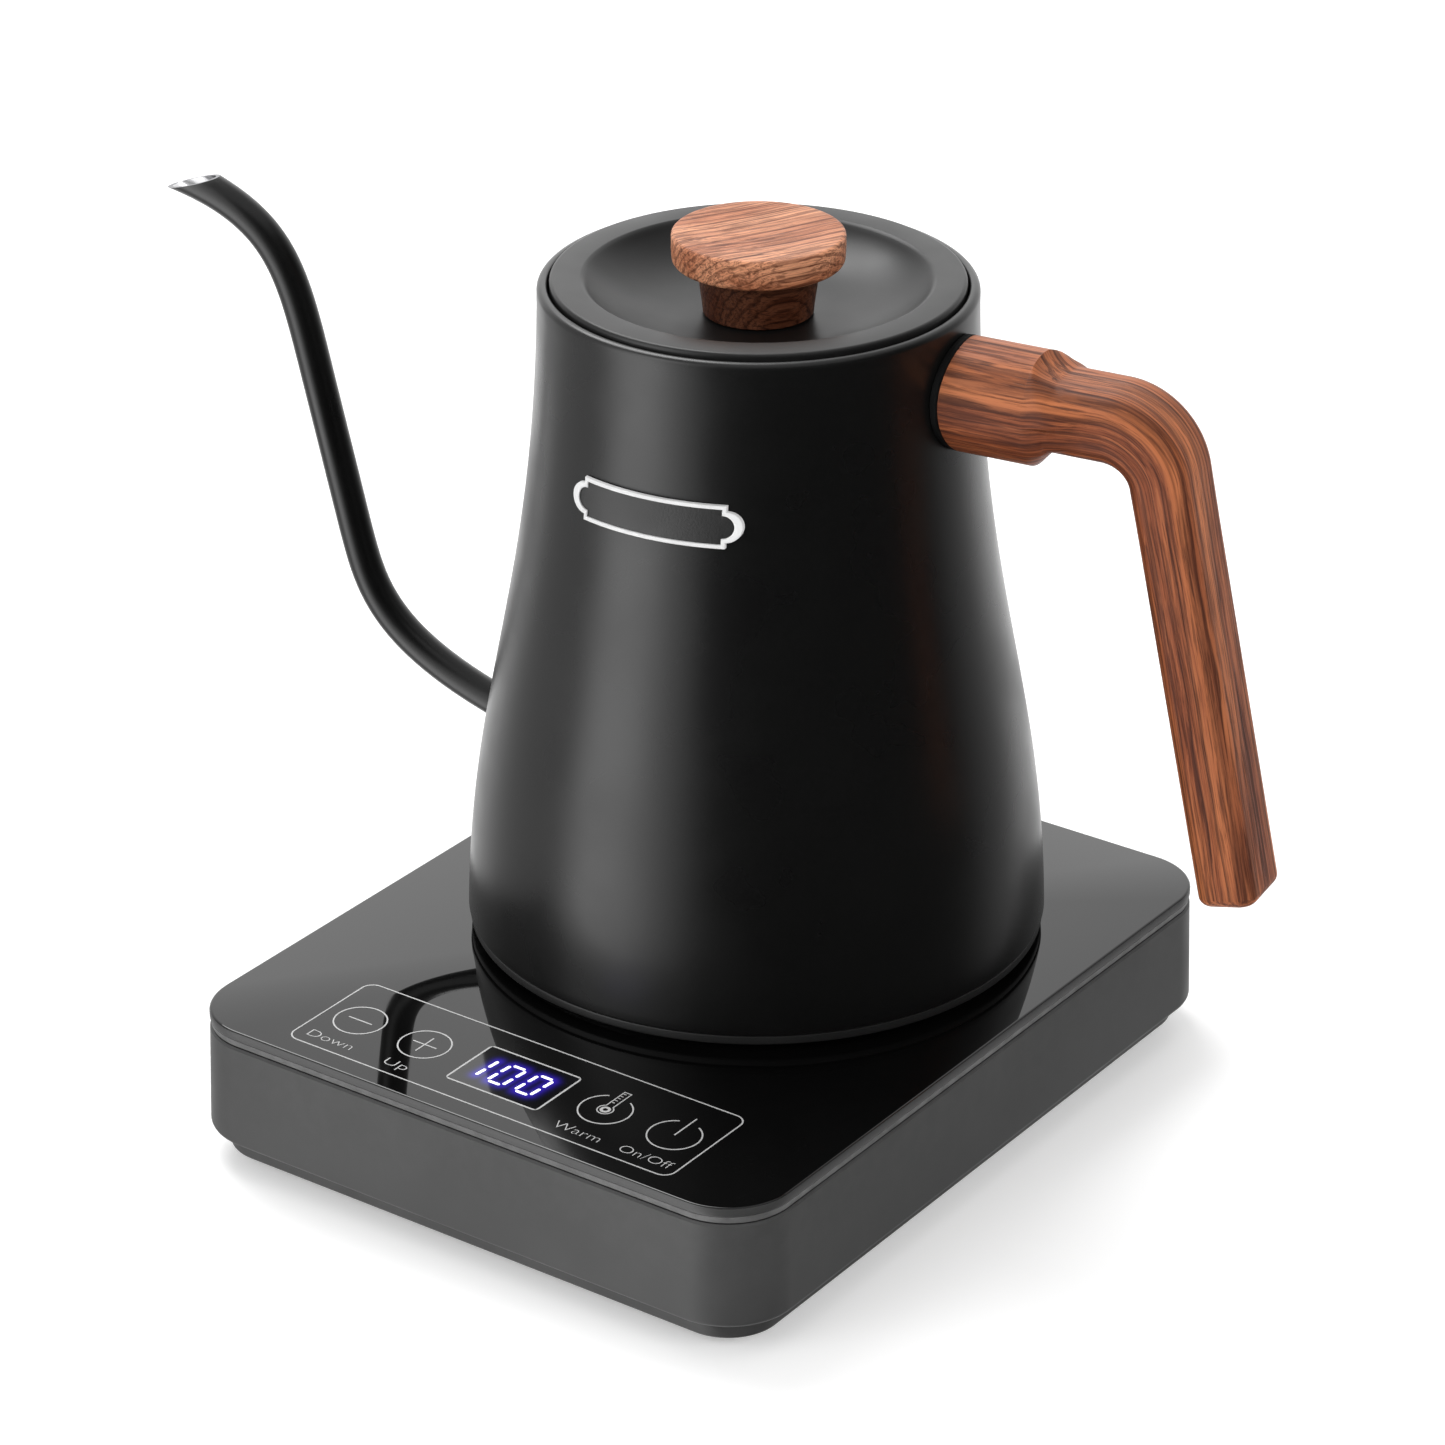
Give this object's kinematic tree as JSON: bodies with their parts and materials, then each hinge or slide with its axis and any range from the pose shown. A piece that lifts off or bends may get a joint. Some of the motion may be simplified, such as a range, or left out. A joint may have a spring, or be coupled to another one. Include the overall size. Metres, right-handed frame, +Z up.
{
  "type": "electric gooseneck kettle",
  "caption": "Electric gooseneck kettle with a swept wooden handle and a lift-off lid, standing on a glass-topped power base with a touch control strip.",
  "frame": {"origin": "middle of the footprint's bounding box, on the table that the feet stand on", "axes": "+Z up, +X from the spout's side to the handle's side, -Y towards the control strip at the front of the base; the kettle stands turned 8 degrees about its own axis"},
  "size_m": [0.2873, 0.2018, 0.2131],
  "materials": {
    "black_coat": "satin black powder coat",
    "lid_coat": "matte black powder coat",
    "wood": "oiled, dark straight grain",
    "black_glass": "polished, back-painted black",
    "base_plastic": "fine moulded texture",
    "black_plastic": "moulded",
    "steel": "stainless",
    "aluminium": "plain",
    "brass": "plain",
    "rubber": "matte",
    "silicone": "matte translucent",
    "circuit_board": "solder mask",
    "plaque": "black field with a pale raised rim",
    "display": "lit violet-white numerals"
  },
  "bodies": {
    "power_base": {"glass_top": "black_glass", "glass_carrier": "base_plastic", "housing_shell": "base_plastic", "bottom_cover": "base_plastic", "foot_front_left": "rubber", "foot_front_right": "rubber", "foot_rear_left": "rubber", "foot_rear_right": "rubber", "cover_screw_front_left": "steel", "cover_screw_front_right": "steel", "cover_screw_rear_left": "steel", "cover_screw_rear_right": "steel", "socket_body": "black_plastic", "socket_centre_contact": "brass", "socket_ring_contact": "brass", "main_board": "circuit_board", "relay": "black_plastic", "power_transformer": "circuit_board", "capacitor": "aluminium", "buzzer": "black_plastic", "touch_board": "circuit_board", "display_module": "display", "touch_spring_minus": "steel", "touch_spring_plus": "steel", "touch_spring_keep_warm": "steel", "touch_spring_power": "steel", "cord_gland": "rubber", "cord_clamp": "black_plastic"},
    "kettle_connector": {"connector_cup": "black_plastic", "connector_pin": "brass", "connector_ring": "brass"},
    "kettle": {"body_shell": "black_coat", "spout_tube": "black_coat", "heating_floor": "steel", "heat_spreader": "aluminium", "heating_element": "steel", "thermal_cutout": "black_plastic", "temperature_sensor": "steel", "kettle_base_cover": "black_plastic", "base_cover_screw_a": "steel", "base_cover_screw_b": "steel", "base_cover_screw_c": "steel", "nameplate": "plaque", "handle": "wood", "handle_gasket": "rubber", "handle_bracket": "steel", "handle_screw": "steel"},
    "lid": {"lid_cap": "lid_coat", "lid_liner": "black_plastic", "lid_seal": "silicone", "knob": "wood", "knob_screw": "steel", "knob_washer": "steel"}
  },
  "joints": [
    {"name": "kettle_lift", "type": "slide", "parent": "power_base", "child": "kettle_connector", "axis": [0, 0, 1], "range_m": [0, 0.12]},
    {"name": "kettle_swivel", "type": "hinge", "parent": "kettle_connector", "child": "kettle", "pos_m": [0.0135, 0.019, 0.0385], "axis": [0, 0, 1], "continuous": true},
    {"name": "lid_lift", "type": "slide", "parent": "kettle", "child": "lid", "axis": [0, 0, 1], "range_m": [0, 0.06]}
  ]
}
